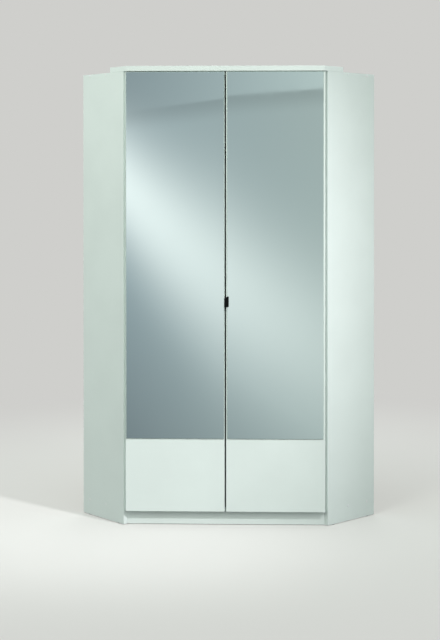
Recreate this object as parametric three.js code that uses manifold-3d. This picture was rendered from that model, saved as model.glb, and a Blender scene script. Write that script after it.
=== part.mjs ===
// Corner wardrobe with two mirrored doors, in millimetres, Z up, doors facing -Y.
// It stands in a room corner. Its two wings are square to the walls, and its front runs across the corner.
// The origin lies on the floor, in the middle of the bounding box.

import * as THREE from "three";
import { mergeVertices } from "three/addons/utils/BufferGeometryUtils.js";
import Module from "manifold-3d";

const wasm = await Module();
wasm.setup();

// Overall size
const height = 1990;
const wallLeg = 922; // from the room corner along a wall to a wing's outer face
const wingDepth = 296; // from the wall to a wing's front edge

// Boards
const wingThickness = 18;
const boardThickness = 16;
const backThickness = 3;
const backSetback = 8; // from the wall to the back panels
const backGroove = 8; // depth of the back panels' grooves in the wings
const plinthHeight = 60; // from the floor to the underside of the bottom board

// Strip over the doors
const topRailThickness = 22;
const topRailOverhang = 2; // in front of the mirrors
const topRailSeat = 68; // how far it lies back from the wings' front corners

// Corner post
const postWidth = 40;
const postChamfer = 14;

// Glides under the wings and the post
const glideHeight = 3;
const glideRadius = 8;
const glideChamfer = 0.8;
const glideInset = 40; // from a wing's ends

// Doors
const doorThickness = 16;
const doorEdgeInset = 10; // from a wing's outer front corner to the door's edge
const doorMiddleGap = 7;
const doorTopGap = 2.5;
const doorBottomReveal = 2.5; // above the plinth's top

// Mirrors
const mirrorThickness = 3;
const leftMirrorHingeMargin = 3;
const leftMirrorFreeMargin = 1.5;
const rightMirrorHingeMargin = 8.5;
const rightMirrorFreeMargin = 4.5;
const mirrorTopMargin = 1;
const plainPanelHeight = 316; // bare part of the door below the mirror

// Hat shelf and its pins
const hatRoom = 276; // from the shelf's top to the top board
const shelfFrontSetback = 40;
const shelfPinRadius = 2.5;
const shelfPinDepth = 10;
const shelfPinHeadRadius = 4;
const shelfPinHeadLength = 8;
const shelfPinInset = 45; // from the shelf's front and back corners

// Clothes rail, an oval tube under the hat shelf
const railLength = 840;
const railTall = 30;
const railWide = 15;
const railWall = 1;
const railDrop = 48; // from the shelf's underside to the rail's middle
const railSetback = 280; // behind the wings' front corners

// Rail hangers
const hangerFromEnd = 120; // from the rail's end
const hangerWidth = 14;
const hangerWall = 3;
const hangerNeck = 9;
const hangerFlange = 46;

// Rail end caps
const capLip = 0.8;
const capThickness = 2.5;
const capPlug = 9;

// Hinges
const hingesPerDoor = 4;
const hingeFromEnd = 110;
const openAngle = THREE.MathUtils.degToRad(105);
const pivotInset = 10; // from the door's edge to the pin
const pivotDepth = 7.5; // from the door's back face to the pin
const swingClearance = 1.2; // between the turning door edge and the carcase
const cupRadius = 17.5;
const cupDepth = 12;
const cupWall = 1;
const cupFromEdge = 21; // from the door's edge to the cup's middle
const flangeRadius = 18.5;
const flangeThickness = 1.5;
const earLength = 64;
const earWidth = 22;
const earCorner = 5;
const earShift = 4; // of the ears' middle, away from the door's edge
const pinRadius = 1.2;
const pinPlay = 0.4;
const eyeWall = 1;
const armWidth = 12;
const armThickness = 2;
const armClearance = 1;

// Hinge mounting plates
const plateStart = 12; // behind the wing's inner front corner
const plateLength = 46;
const plateThickness = 2.5;
const plateTall = 50;
const plateBlockLength = 36;

// Handle, a pull hooked over the right door's free edge
const handleCentre = 971; // above the floor
const handleTall = 44;
const handleLipThickness = 2.5;
const handleLipReach = 11; // over the mirror
const handleLipOverhang = 3.9; // over the gap between the doors
const handleFingerRoom = 11.2; // between the mirror and the lip
const handleWebThickness = 1.5;
const handleLegLength = 20; // over the door's back face

// Handle screws
const screwSpacing = 24;
const screwFromEdge = 12;
const screwRadius = 1.75;
const screwLength = 12;
const screwHeadRadius = 3.5;
const screwHeadHeight = 2;

// Door bumpers
const bumperRadius = 5;
const bumperFromMiddle = 40;
const bumperChamfer = 0.8;

// Clearances and rounding
const seatGap = 0.3;
const overrun = 1; // how far a cutter passes the face that it enters
const weld = 0.001; // vertices nearer than this are one
const roundSegments = 24;

// Colours and surfaces
const finishes = {
  whiteBoard: { color: 0xe2ebe6, roughness: 0.45, metalness: 0 },
  hardboard: { color: 0xe8e6dc, roughness: 0.7, metalness: 0 },
  mirrorGlass: { color: 0xb9c8cc, roughness: 0.03, metalness: 1 },
  nickel: { color: 0xb8b8b4, roughness: 0.3, metalness: 1 },
  zinc: { color: 0x9ea2a4, roughness: 0.4, metalness: 1 },
  blackPlastic: { color: 0x141414, roughness: 0.4, metalness: 0 },
  greyPlastic: { color: 0x8d9190, roughness: 0.55, metalness: 0 },
  clearRubber: { color: 0xd9d9d2, roughness: 0.6, metalness: 0 },
};

const LEFT = -1;
const RIGHT = 1;
const sides = [
  { side: LEFT, word: "left" },
  { side: RIGHT, word: "right" },
];
const slant = Math.PI / 4; // a wing's angle to the front, in plan

// Levels
const topRailUnderside = height - topRailThickness;
const carcaseTop = topRailUnderside - seatGap;
const topBoardUnderside = carcaseTop - boardThickness;
const doorBottom = plinthHeight + doorBottomReveal;
const doorTop = topRailUnderside - doorTopGap;
const mirrorBottom = doorBottom + plainPanelHeight;
const mirrorTop = doorTop - mirrorTopMargin;
const shelfUnderside = topBoardUnderside - hatRoom - boardThickness;

// Plan sizes, as distances from the two walls
const wingInner = wallLeg - wingThickness;
const backInner = backSetback + backThickness;
const postStart = backInner + seatGap;
const postEnd = postStart + postWidth;

// The door's section round its hinge pin: u runs from the pin to the middle of the front, v runs back.
const hingeEdge = -pivotInset;
const doorBack = pivotDepth;
const doorFront = doorBack - doorThickness;
const mirrorBack = doorFront - seatGap;
const mirrorFront = mirrorBack - mirrorThickness;
const lipBack = mirrorFront - handleFingerRoom;
const lipFront = lipBack - handleLipThickness;
const mirrorEdge = hingeEdge + Math.min(leftMirrorHingeMargin, rightMirrorHingeMargin);
const swingRadius = Math.max(
  Math.hypot(hingeEdge, doorBack),
  Math.hypot(hingeEdge, doorFront),
  Math.hypot(mirrorEdge, mirrorFront),
);

// Places across and along the room corner's diagonal
const frontHalf = (wallLeg - wingDepth) * Math.SQRT1_2;
const pivotX = frontHalf - doorEdgeInset - pivotInset;
const pivotBehindFront = doorEdgeInset + pivotInset - (swingRadius + swingClearance) * Math.SQRT2;
const frontToCorner = (wallLeg + wingDepth) * Math.SQRT1_2;
const depth = frontToCorner - backSetback * Math.SQRT2 - pivotBehindFront - lipFront;
const cornerY = depth / 2 + backSetback * Math.SQRT2;
const frontY = cornerY - frontToCorner;
const pivotY = frontY + pivotBehindFront;
const wingCornerY = frontY + wingThickness * Math.SQRT1_2;
const boardFrontY = Math.max(pivotY + swingRadius + swingClearance, wingCornerY + seatGap);
const shelfFrontY = frontY + shelfFrontSetback;
const freeEdge = pivotX - doorMiddleGap / 2;

// A point in plan, from its distance out along its side's wall and its distance off that wall.
function plan(side, out, off) {
  return [side * (out - off) * Math.SQRT1_2, cornerY - (out + off) * Math.SQRT1_2];
}

// The point of the line that stands a distance out along the wall, at a given y.
function planAt(side, out, y) {
  return plan(side, out, (cornerY - y) * Math.SQRT2 - out);
}

function planRectangle(side, out0, out1, off0, off1) {
  return [plan(side, out0, off0), plan(side, out1, off0), plan(side, out1, off1), plan(side, out0, off1)];
}

// A point of a door's section, in the frame of its hinge pin.
function section(side, [u, v]) {
  return [-side * u, v];
}

function sectionRectangle(side, u0, u1, v0, v1) {
  return [[u0, v0], [u1, v0], [u1, v1], [u0, v1]].map((point) => section(side, point));
}

// An upright prism on an outline of [x, y] points, between two heights.
function prism(points, z0, z1) {
  const shape = new THREE.Shape(points.map(([x, y]) => new THREE.Vector2(x, y)));
  const geometry = new THREE.ExtrudeGeometry(shape, { depth: z1 - z0, bevelEnabled: false });
  return geometry.translate(0, 0, z0);
}

// A rod along +Y from the origin.
function rod(radius, length) {
  return new THREE.CylinderGeometry(radius, radius, length, roundSegments).translate(0, length / 2, 0);
}

// An upright rod round the origin, centred in height.
function uprightRod(radius, length) {
  return rod(radius, length).rotateX(Math.PI / 2).translate(0, 0, -length / 2);
}

// A turned shape round the Y axis, from [radius, y] points that start and end on the axis.
function turned(profile) {
  return new THREE.LatheGeometry(profile.map(([r, y]) => new THREE.Vector2(r, y)), roundSegments);
}

// An oval with flat sides, tall in z and wide in y, drawn out along +X from the origin.
function ovalBar(tall, wide, length) {
  const reach = (tall - wide) / 2;
  const oval = new THREE.Shape();
  oval.absarc(reach, 0, wide / 2, -Math.PI / 2, Math.PI / 2);
  oval.absarc(-reach, 0, wide / 2, Math.PI / 2, (3 * Math.PI) / 2);
  const geometry = new THREE.ExtrudeGeometry(oval, {
    depth: length,
    bevelEnabled: false,
    curveSegments: roundSegments / 2,
  });
  return geometry.rotateY(Math.PI / 2);
}

// The outline of a flat strip of even thickness, bent along a route with mitred corners.
function stripOutline(route, thickness) {
  const normals = route.slice(1).map(([x, y], i) => {
    const [fromX, fromY] = route[i];
    const run = Math.hypot(x - fromX, y - fromY);
    return [(fromY - y) / run, (x - fromX) / run];
  });
  const offsets = route.map((point, i) => {
    const [ax, ay] = normals[Math.max(i - 1, 0)];
    const [bx, by] = normals[Math.min(i, normals.length - 1)];
    const share = thickness / 2 / (1 + ax * bx + ay * by);
    return [(ax + bx) * share, (ay + by) * share];
  });
  const edge = (sign) => route.map(([x, y], i) => [x + sign * offsets[i][0], y + sign * offsets[i][1]]);
  return [...edge(1), ...edge(-1).reverse()];
}

// A closed solid for joining and cutting.
function solid(geometry) {
  const bare = geometry.clone();
  bare.deleteAttribute("normal");
  bare.deleteAttribute("uv");
  const welded = mergeVertices(bare, weld);
  return new wasm.Manifold(
    new wasm.Mesh({
      numProp: 3,
      vertProperties: welded.attributes.position.array,
      triVerts: new Uint32Array(welded.index.array),
    }),
  );
}

function geometryOf(body) {
  const made = body.getMesh();
  const geometry = new THREE.BufferGeometry();
  geometry.setAttribute("position", new THREE.BufferAttribute(made.vertProperties, made.numProp));
  geometry.setIndex(new THREE.BufferAttribute(made.triVerts, 1));
  geometry.computeVertexNormals();
  return geometry;
}

function join(first, ...others) {
  return geometryOf(others.reduce((body, other) => body.add(solid(other)), solid(first)));
}

function cut(first, ...cutters) {
  return geometryOf(cutters.reduce((body, cutter) => body.subtract(solid(cutter)), solid(first)));
}

function piece(name, geometry, finish) {
  const mesh = new THREE.Mesh(geometry, new THREE.MeshStandardMaterial(finish));
  mesh.name = name;
  return mesh;
}

// A group turned about Z, holding the pieces that are placed together.
function placed(x, y, z, turn, ...pieces) {
  const group = new THREE.Group();
  group.position.set(x, y, z);
  group.rotation.z = turn;
  group.add(...pieces);
  return group;
}

// Places of the shelf pins, as distances off the wall, and their height
const shelfFrontOff = (cornerY - shelfFrontY) * Math.SQRT2 - wingInner;
const shelfPinOffs = [backInner + shelfPinInset, shelfFrontOff - shelfPinInset];
const shelfPinLevel = shelfUnderside - seatGap - shelfPinHeadRadius;

function shelfPinHole() {
  return rod(shelfPinRadius + seatGap, shelfPinDepth + seatGap + overrun).translate(
    0,
    -shelfPinDepth - seatGap,
    0,
  );
}

// One wing: an upright side panel, grooved for its back panel and bored for the shelf pins
function sidePanel({ side, word }) {
  const outline = planRectangle(side, wingInner, wallLeg, 0, wingDepth);
  const groove = planRectangle(
    side,
    wingInner - overrun,
    wingInner + backGroove,
    backSetback - seatGap,
    backInner + seatGap,
  );
  const holes = shelfPinOffs.map((off) => {
    const [x, y] = plan(side, wingInner, off);
    return shelfPinHole().rotateZ(side * slant).translate(x, y, shelfPinLevel);
  });
  const geometry = cut(
    prism(outline, glideHeight, carcaseTop),
    prism(groove, 0, height),
    ...holes,
  );
  return piece(`${word}_side_panel`, geometry, finishes.whiteBoard);
}

// The five-sided outline of a board between the wings, notched round the corner post.
function boardOutline(front) {
  const half = (side) => [
    planAt(side, wingInner - seatGap, front),
    plan(side, wingInner - seatGap, backInner + seatGap),
    plan(side, postEnd + seatGap, backInner + seatGap),
    plan(side, postEnd + seatGap, postEnd - postChamfer + seatGap * (Math.SQRT2 - 1)),
  ];
  return [...half(LEFT), ...half(RIGHT).reverse()];
}

function board(name, front, underside) {
  const geometry = prism(boardOutline(front), underside, underside + boardThickness);
  return piece(name, geometry, finishes.whiteBoard);
}

// The plinth under the bottom board, its ends cut to the wings
function plinthRail() {
  const outline = [
    planAt(LEFT, wingInner - seatGap, boardFrontY),
    planAt(RIGHT, wingInner - seatGap, boardFrontY),
    planAt(RIGHT, wingInner - seatGap, boardFrontY + boardThickness),
    planAt(LEFT, wingInner - seatGap, boardFrontY + boardThickness),
  ];
  const geometry = prism(outline, glideHeight, plinthHeight - seatGap);
  return piece("plinth_rail", geometry, finishes.whiteBoard);
}

// The strip over the doors, its ends in line with the wings' outer faces
function topRail() {
  const front = pivotY + mirrorFront - topRailOverhang;
  const back = frontY + topRailSeat;
  const outline = [
    planAt(LEFT, wallLeg, front),
    planAt(RIGHT, wallLeg, front),
    planAt(RIGHT, wallLeg, back),
    planAt(LEFT, wallLeg, back),
  ];
  return piece("top_rail", prism(outline, topRailUnderside, height), finishes.whiteBoard);
}

// The two back panels meet at the room corner, the left one past the right one's end
function backPanel({ side, word }) {
  const start = side === LEFT ? backSetback : backInner + seatGap;
  const end = wingInner + backGroove - seatGap;
  const outline = planRectangle(side, start, end, backSetback, backInner);
  return piece(`${word}_back_panel`, prism(outline, plinthHeight, carcaseTop), finishes.hardboard);
}

// The upright post in the corner, its inner edge chamfered to a flat that faces the front
function cornerPost() {
  const outline = [
    plan(LEFT, postStart, postStart),
    plan(LEFT, postEnd, postStart),
    plan(LEFT, postEnd, postEnd - postChamfer),
    plan(LEFT, postEnd - postChamfer, postEnd),
    plan(LEFT, postStart, postEnd),
  ];
  const hole = shelfPinHole().rotateZ(Math.PI).translate(0, postFlatY, shelfPinLevel);
  const geometry = cut(prism(outline, glideHeight, carcaseTop), hole);
  return piece("corner_post", geometry, finishes.whiteBoard);
}

const postFlatY = plan(LEFT, postEnd, postEnd - postChamfer)[1];

// One shelf pin: its stem points into the board behind it, its head along +Y.
function shelfPin(name) {
  const geometry = turned([
    [0, -shelfPinDepth],
    [shelfPinRadius, -shelfPinDepth],
    [shelfPinRadius, seatGap],
    [shelfPinHeadRadius, seatGap],
    [shelfPinHeadRadius, seatGap + shelfPinHeadLength],
    [0, seatGap + shelfPinHeadLength],
  ]);
  return piece(name, geometry, finishes.greyPlastic);
}

function shelfPins() {
  const ends = ["back", "front"];
  const inWings = sides.flatMap(({ side, word }) =>
    shelfPinOffs.map((off, i) => {
      const [x, y] = plan(side, wingInner, off);
      return placed(x, y, shelfPinLevel, side * slant, shelfPin(`shelf_pin_${word}_${ends[i]}`));
    }),
  );
  return [...inWings, placed(0, postFlatY, shelfPinLevel, Math.PI, shelfPin("shelf_pin_corner"))];
}

// One glide, standing on the floor
function glide(name, [x, y]) {
  const top = glideHeight - seatGap;
  const geometry = turned([
    [0, 0],
    [glideRadius - glideChamfer, 0],
    [glideRadius, glideChamfer],
    [glideRadius, top],
    [0, top],
  ]).rotateX(Math.PI / 2);
  const mesh = piece(name, geometry, finishes.greyPlastic);
  mesh.position.set(x, y, 0);
  return mesh;
}

function glides() {
  const middle = wallLeg - wingThickness / 2;
  const postMiddle = postStart + postWidth / 2;
  const underWings = sides.flatMap(({ side, word }) => [
    glide(`glide_${word}_back`, plan(side, middle, glideInset)),
    glide(`glide_${word}_front`, plan(side, middle, wingDepth - glideInset)),
  ]);
  return [...underWings, glide("glide_corner", plan(LEFT, postMiddle, postMiddle))];
}

// The clothes rail with its end caps, centred on the origin, and the two hangers that carry it
function clothesRail() {
  const bore = ovalBar(railTall - 2 * railWall, railWide - 2 * railWall, railLength + 2 * overrun);
  const tube = cut(ovalBar(railTall, railWide, railLength), bore.translate(-overrun, 0, 0));
  const mesh = piece("clothes_rail", tube, finishes.nickel);
  mesh.position.x = -railLength / 2;
  return mesh;
}

function railEndCap({ side, word }) {
  const room = railWall + seatGap;
  const plug = ovalBar(railTall - 2 * room, railWide - 2 * room, capPlug + capThickness);
  const lip = ovalBar(railTall + 2 * capLip, railWide + 2 * capLip, capThickness);
  const geometry = join(plug.translate(-capPlug, 0, 0), lip);
  const mesh = piece(`rail_end_cap_${word}`, geometry, finishes.greyPlastic);
  mesh.rotation.z = side === RIGHT ? 0 : Math.PI;
  mesh.position.x = side * (railLength / 2 + seatGap);
  return mesh;
}

function railHanger({ side, word }) {
  const room = seatGap + hangerWall;
  const top = railDrop - seatGap;
  const ring = ovalBar(railTall + 2 * room, railWide + 2 * room, hangerWidth);
  const neck = new THREE.BoxGeometry(hangerWidth, hangerNeck, top);
  const flange = new THREE.BoxGeometry(hangerWidth, hangerFlange, hangerWall);
  const bore = ovalBar(railTall + 2 * seatGap, railWide + 2 * seatGap, hangerWidth + 2 * overrun);
  const body = join(
    ring.translate(-hangerWidth / 2, 0, 0),
    neck.translate(0, 0, top / 2),
    flange.translate(0, 0, top - hangerWall / 2),
  );
  const geometry = cut(body, bore.translate(-hangerWidth / 2 - overrun, 0, 0));
  const mesh = piece(`rail_hanger_${word}`, geometry, finishes.nickel);
  mesh.position.x = side * (railLength / 2 - hangerFromEnd);
  return mesh;
}

function railSet() {
  const pieces = [clothesRail(), ...sides.map(railEndCap), ...sides.map(railHanger)];
  return placed(0, frontY + railSetback, shelfUnderside - railDrop, 0, ...pieces);
}

// One soft bumper on the top board's front edge, behind a door
function bumper({ side, word }) {
  const thickness = boardFrontY - (pivotY + doorBack) - 2 * seatGap;
  const geometry = turned([
    [0, 0],
    [bumperRadius - bumperChamfer, 0],
    [bumperRadius, bumperChamfer],
    [bumperRadius, thickness],
    [0, thickness],
  ]);
  const mesh = piece(`door_bumper_${word}`, geometry, finishes.clearRubber);
  const y = pivotY + doorBack + seatGap;
  mesh.position.set(side * bumperFromMiddle, y, topBoardUnderside + boardThickness / 2);
  return mesh;
}

// Hinges: heights up the door, and the pin's section
const hingeLevels = Array.from({ length: hingesPerDoor }, (_, i) => {
  const run = doorTop - doorBottom - 2 * hingeFromEnd;
  return doorBottom + hingeFromEnd + (run * i) / (hingesPerDoor - 1);
});
const cupMiddle = hingeEdge + cupFromEdge;
const cupFloor = doorBack - cupDepth;
const flangeUnder = doorBack + seatGap;
const flangeTop = flangeUnder + flangeThickness;
const cupInner = cupRadius - cupWall;

// The arm's upright leg stays behind the door's edge and the flange at the full opening.
const edgeCorners = [
  [hingeEdge, doorBack],
  [cupMiddle - flangeRadius, flangeTop],
];
const openReach = edgeCorners.map(([u, v]) => u * Math.cos(openAngle) + v * Math.sin(openAngle));
const legMiddle = Math.max(...openReach) + armClearance + armThickness / 2;
const bend = [legMiddle, flangeTop + armClearance + armThickness / 2];

// A wing's inner front corner, in the frame of the hinge pin, and the bend's place along and off the wing.
const [wingCornerX, wingCornerInnerY] = plan(RIGHT, wingInner, wingDepth);
const wingCorner = [pivotX - wingCornerX, wingCornerInnerY - pivotY];
const bendOffWing = (bend[0] - wingCorner[0] + bend[1] - wingCorner[1]) * Math.SQRT1_2;
const armEnd = [plateStart + plateLength, bendOffWing];

// The section point that lies a distance along the wing from its corner and a distance off its face.
function onWing([along, off]) {
  const [u, v] = wingCorner;
  return [u + (off - along) * Math.SQRT1_2, v + (off + along) * Math.SQRT1_2];
}

// The cup with its screw ears and the pin that crosses it
function hingeCup(side, name) {
  const bowl = turned([
    [0, cupFloor],
    [cupRadius, cupFloor],
    [cupRadius, flangeUnder],
    [flangeRadius, flangeUnder],
    [flangeRadius, flangeTop],
    [0, flangeTop],
  ]);
  const ears = earPlate().translate(-side * earShift, flangeUnder, 0);
  const room = rod(cupInner, cupDepth + overrun + flangeThickness).translate(0, cupFloor + cupWall, 0);
  const pinLength = 2 * (Math.sqrt(cupInner ** 2 - cupMiddle ** 2) + cupWall / 2);
  const pin = uprightRod(pinRadius, pinLength).translate(side * cupMiddle, 0, 0);
  const geometry = join(cut(join(bowl, ears), room), pin);
  const mesh = piece(name, geometry, finishes.nickel);
  mesh.position.x = -side * cupMiddle;
  return mesh;
}

// The plate with round corners that carries the cup's screws, flat in XZ, its thickness along +Y.
function earPlate() {
  const flatLong = earLength / 2 - earCorner;
  const flatWide = earWidth / 2 - earCorner;
  const shape = new THREE.Shape();
  shape.absarc(flatWide, flatLong, earCorner, 0, Math.PI / 2);
  shape.absarc(-flatWide, flatLong, earCorner, Math.PI / 2, Math.PI);
  shape.absarc(-flatWide, -flatLong, earCorner, Math.PI, (3 * Math.PI) / 2);
  shape.absarc(flatWide, -flatLong, earCorner, (3 * Math.PI) / 2, 2 * Math.PI);
  const geometry = new THREE.ExtrudeGeometry(shape, {
    depth: flangeThickness,
    bevelEnabled: false,
    curveSegments: roundSegments / 4,
  });
  return geometry.rotateX(Math.PI / 2).translate(0, flangeThickness, 0);
}

// The cranked arm from the eye round the pin to the mounting plate
function hingeArm(side, name) {
  const route = [[0, 0], [legMiddle, 0], bend, onWing(armEnd)];
  const outline = stripOutline(route, armThickness).map((point) => section(side, point));
  const boreRadius = pinRadius + pinPlay;
  const strip = prism(outline, -armWidth / 2, armWidth / 2);
  const eye = uprightRod(boreRadius + eyeWall, armWidth);
  const bore = uprightRod(boreRadius, armWidth + 2 * overrun);
  return piece(name, cut(join(strip, eye), bore), finishes.nickel);
}

// The plate on the wing's inner face, with the block that the arm is screwed to
function hingePlate(side, name) {
  const blockTop = bendOffWing - armThickness / 2 - seatGap;
  const base = new THREE.BoxGeometry(plateLength, plateThickness, plateTall);
  const block = new THREE.BoxGeometry(plateBlockLength, blockTop - seatGap, armWidth);
  const geometry = join(
    base.translate(0, seatGap + plateThickness / 2, 0),
    block.translate(0, (seatGap + blockTop) / 2, 0),
  );
  const [u, v] = onWing([plateStart + plateLength / 2, 0]);
  const mesh = piece(name, geometry, finishes.zinc);
  mesh.position.set(-side * u, v, 0);
  mesh.rotation.z = side * slant;
  return mesh;
}

// The pieces of a side's hinges that stay on its wing
function fixedHinges({ side, word }) {
  return hingeLevels.map((z, i) =>
    placed(
      side * pivotX,
      pivotY,
      z,
      0,
      hingeArm(side, `hinge_arm_${word}_${i + 1}`),
      hingePlate(side, `hinge_plate_${word}_${i + 1}`),
    ),
  );
}

// Handle screws: heights and distance from the pin
const screwLevels = [-1, 1].map((sign) => handleCentre + (sign * screwSpacing) / 2);
const screwU = freeEdge - screwFromEdge;
const handleLegBack = doorBack + seatGap + handleWebThickness;

function screwHole() {
  const length = screwLength + handleLegBack - doorBack + seatGap + overrun;
  return rod(screwRadius + seatGap, length).translate(0, handleLegBack + overrun - length, 0);
}

function doorPanel({ side, word }) {
  const outline = sectionRectangle(side, hingeEdge, freeEdge, doorFront, doorBack);
  const bore = cupDepth + seatGap;
  const cuts = hingeLevels.map((z) =>
    rod(cupRadius + seatGap, bore + overrun).translate(-side * cupMiddle, doorBack - bore, z),
  );
  if (side === RIGHT) {
    cuts.push(...screwLevels.map((z) => screwHole().translate(-side * screwU, 0, z)));
  }
  const geometry = cut(prism(outline, doorBottom, doorTop), ...cuts);
  return piece(`${word}_door_panel`, geometry, finishes.whiteBoard);
}

// The left mirror nearly fills its door's width, and the right one stands a little clear of both edges.
function mirror({ side, word }) {
  const hingeMargin = side === LEFT ? leftMirrorHingeMargin : rightMirrorHingeMargin;
  const freeMargin = side === LEFT ? leftMirrorFreeMargin : rightMirrorFreeMargin;
  const outline = sectionRectangle(
    side,
    hingeEdge + hingeMargin,
    freeEdge - freeMargin,
    mirrorFront,
    mirrorBack,
  );
  return piece(`${word}_mirror`, prism(outline, mirrorBottom, mirrorTop), finishes.mirrorGlass);
}

// The pull: a leg behind the door, a web in the gap between the doors and a lip in front of the mirror
function handle(side) {
  const webInner = freeEdge + seatGap;
  const webOuter = webInner + handleWebThickness;
  const lipOuter = webOuter + handleLipOverhang;
  const lipInner = freeEdge - handleLipReach;
  const legEnd = freeEdge - handleLegLength;
  const outline = [
    [legEnd, doorBack + seatGap],
    [legEnd, handleLegBack],
    [webOuter, handleLegBack],
    [webOuter, lipBack],
    [lipOuter, lipBack],
    [lipOuter, lipFront],
    [lipInner, lipFront],
    [lipInner, lipBack],
    [webInner, lipBack],
    [webInner, doorBack + seatGap],
  ].map((point) => section(side, point));
  const holes = screwLevels.map((z) => screwHole().translate(-side * screwU, 0, z));
  const body = prism(outline, handleCentre - handleTall / 2, handleCentre + handleTall / 2);
  return piece("handle", cut(body, ...holes), finishes.blackPlastic);
}

function handleScrew(side, name, z) {
  const seat = handleLegBack + seatGap;
  const geometry = turned([
    [0, seat - seatGap - handleWebThickness - screwLength],
    [screwRadius, seat - seatGap - handleWebThickness - screwLength],
    [screwRadius, seat],
    [screwHeadRadius, seat],
    [screwHeadRadius, seat + screwHeadHeight],
    [0, seat + screwHeadHeight],
  ]);
  const mesh = piece(name, geometry, finishes.zinc);
  mesh.position.set(-side * screwU, 0, z);
  return mesh;
}

// A door with all that swings with it, in the frame of its hinge pin
function door({ side, word }) {
  const cups = hingeLevels.map((z, i) => {
    const cup = hingeCup(side, `hinge_cup_${word}_${i + 1}`);
    cup.position.z = z;
    return cup;
  });
  const pieces = [doorPanel({ side, word }), mirror({ side, word }), ...cups];
  if (side === RIGHT) {
    const ends = ["lower", "upper"];
    pieces.push(handle(side));
    pieces.push(...screwLevels.map((z, i) => handleScrew(side, `handle_screw_${ends[i]}`, z)));
  }
  return placed(side * pivotX, pivotY, 0, 0, ...pieces);
}

function carcase() {
  return placed(
    0,
    0,
    0,
    0,
    ...sides.map(sidePanel),
    board("top_board", boardFrontY, topBoardUnderside),
    board("bottom_board", boardFrontY, plinthHeight),
    board("hat_shelf", shelfFrontY, shelfUnderside),
    topRail(),
    plinthRail(),
    ...sides.map(backPanel),
    cornerPost(),
    ...shelfPins(),
    ...glides(),
    railSet(),
    ...sides.map(bumper),
    ...sides.flatMap(fixedHinges),
  );
}

const wardrobe = new THREE.Group();
wardrobe.add(carcase(), ...sides.map(door));

export default wardrobe;
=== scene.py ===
"""Finishes, edges and small fastenings for a corner wardrobe with two mirrored doors, and a plain studio.

All sizes are in metres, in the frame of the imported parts: Z up, doors facing -Y, floor at z = 0.
"""

import math

import bmesh
import bpy
from bpy.props import FloatProperty, FloatVectorProperty, IntProperty, PointerProperty
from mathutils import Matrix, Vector


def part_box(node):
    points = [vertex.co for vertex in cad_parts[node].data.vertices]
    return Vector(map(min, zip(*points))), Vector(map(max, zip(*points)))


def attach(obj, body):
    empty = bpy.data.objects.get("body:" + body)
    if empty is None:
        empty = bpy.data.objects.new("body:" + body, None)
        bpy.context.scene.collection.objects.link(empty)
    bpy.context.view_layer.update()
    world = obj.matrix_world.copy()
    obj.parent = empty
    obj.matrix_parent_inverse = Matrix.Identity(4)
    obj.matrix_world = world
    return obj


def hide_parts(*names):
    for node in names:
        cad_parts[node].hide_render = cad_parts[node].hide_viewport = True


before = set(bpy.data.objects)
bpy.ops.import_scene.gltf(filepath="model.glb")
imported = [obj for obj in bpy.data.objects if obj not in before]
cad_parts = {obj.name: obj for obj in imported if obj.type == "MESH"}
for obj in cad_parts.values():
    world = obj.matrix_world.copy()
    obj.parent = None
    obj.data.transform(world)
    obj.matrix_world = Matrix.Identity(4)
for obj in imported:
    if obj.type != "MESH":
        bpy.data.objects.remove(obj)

bl_info = {
    "name": "Corner wardrobe finishes",
    "version": (1, 0, 0),
    "blender": (4, 5, 0),
    "location": "View3D > Sidebar > Wardrobe",
    "description": "Dresses the packed parts of a corner wardrobe and sets up a plain studio",
    "category": "Object",
}


def middle(node):
    """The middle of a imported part's box."""
    low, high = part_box(node)
    return (low + high) / 2


MM = 0.001
SIDES = {"left": -1, "right": 1}  # the sign of X
HALF_ROOT = math.sqrt(0.5)
UP = Vector((0, 0, 1))
BACK = Vector((0, 1, 0))
NEAR_BLACK = 0.04045  # where the sRGB curve turns from a line to a power

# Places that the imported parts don't name, as the source has them
BACK_SETBACK = 8 * MM  # from a wall to the back panels
WING_DEPTH = 296 * MM
WING_THICKNESS = 18 * MM
WALL_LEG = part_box("right_side_panel")[1].x / HALF_ROOT  # from the room corner to a wing's outer face
WING_INNER = WALL_LEG - WING_THICKNESS
CORNER_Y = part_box("left_back_panel")[1].y + BACK_SETBACK * math.sqrt(2)
POST_FLAT_Y = 386.76 * MM
PIN_LEVEL = middle("shelf_pin_corner").z
PIN_OFFS = (56 * MM, 212.4 * MM)  # of the shelf pins, off the wall
HINGE_COUNT = 4
PIVOT = {side: Vector((side * 422.649, -412.596, 0)) * MM for side in SIDES.values()}  # the hinge pins

# The pull's section, seen from above: it hooks round the right door's free edge, with a lip before the mirror, a web in
# the gap between the doors and a leg on the door's back
LIP_WIDTH = 16.7 * MM
LIP_THICKNESS = 2.5 * MM
LIP_OVERHANG = 3.9 * MM  # from the lip's free edge to the web
LIP_CHAMFER = 0.9 * MM
WEB_THICKNESS = 1.5 * MM  # and the leg's
GROOVE_HALF = 2.6 * MM  # half the width of the groove between the lip's two ridges
GROOVE_DEPTH = 0.9 * MM
PULL_ROUNDING = 0.35 * MM
PULL_BORE = (2.05 * MM, 3 * MM)  # radius and depth
PULL_SCREW = (3.5 * MM, 1.75 * MM)  # radii of head and stem

# Small screws of the hinges and hangers
HEAD_RADIUS, HEAD_HEIGHT = 3.4 * MM, 1.6 * MM
CUP_SCREW_INWARD, CUP_SCREW_BACK = 15 * MM, 9.3 * MM  # from a hinge pin
CUP_SCREW_RISES = (-24 * MM, 24 * MM)  # above the hinge's middle
# In mm, behind the wing's front edge, off its inner face and above the hinge's middle: two hold the plate, two the arm
PLATE_SCREWS = ((35, 2.8, -16), (35, 2.8, 16), (32, 13.75, 0), (47, 13.75, 0))
HANGER_SCREW_SPACING = 34 * MM
HANGER_FLANGE = 3 * MM  # thickness

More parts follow.
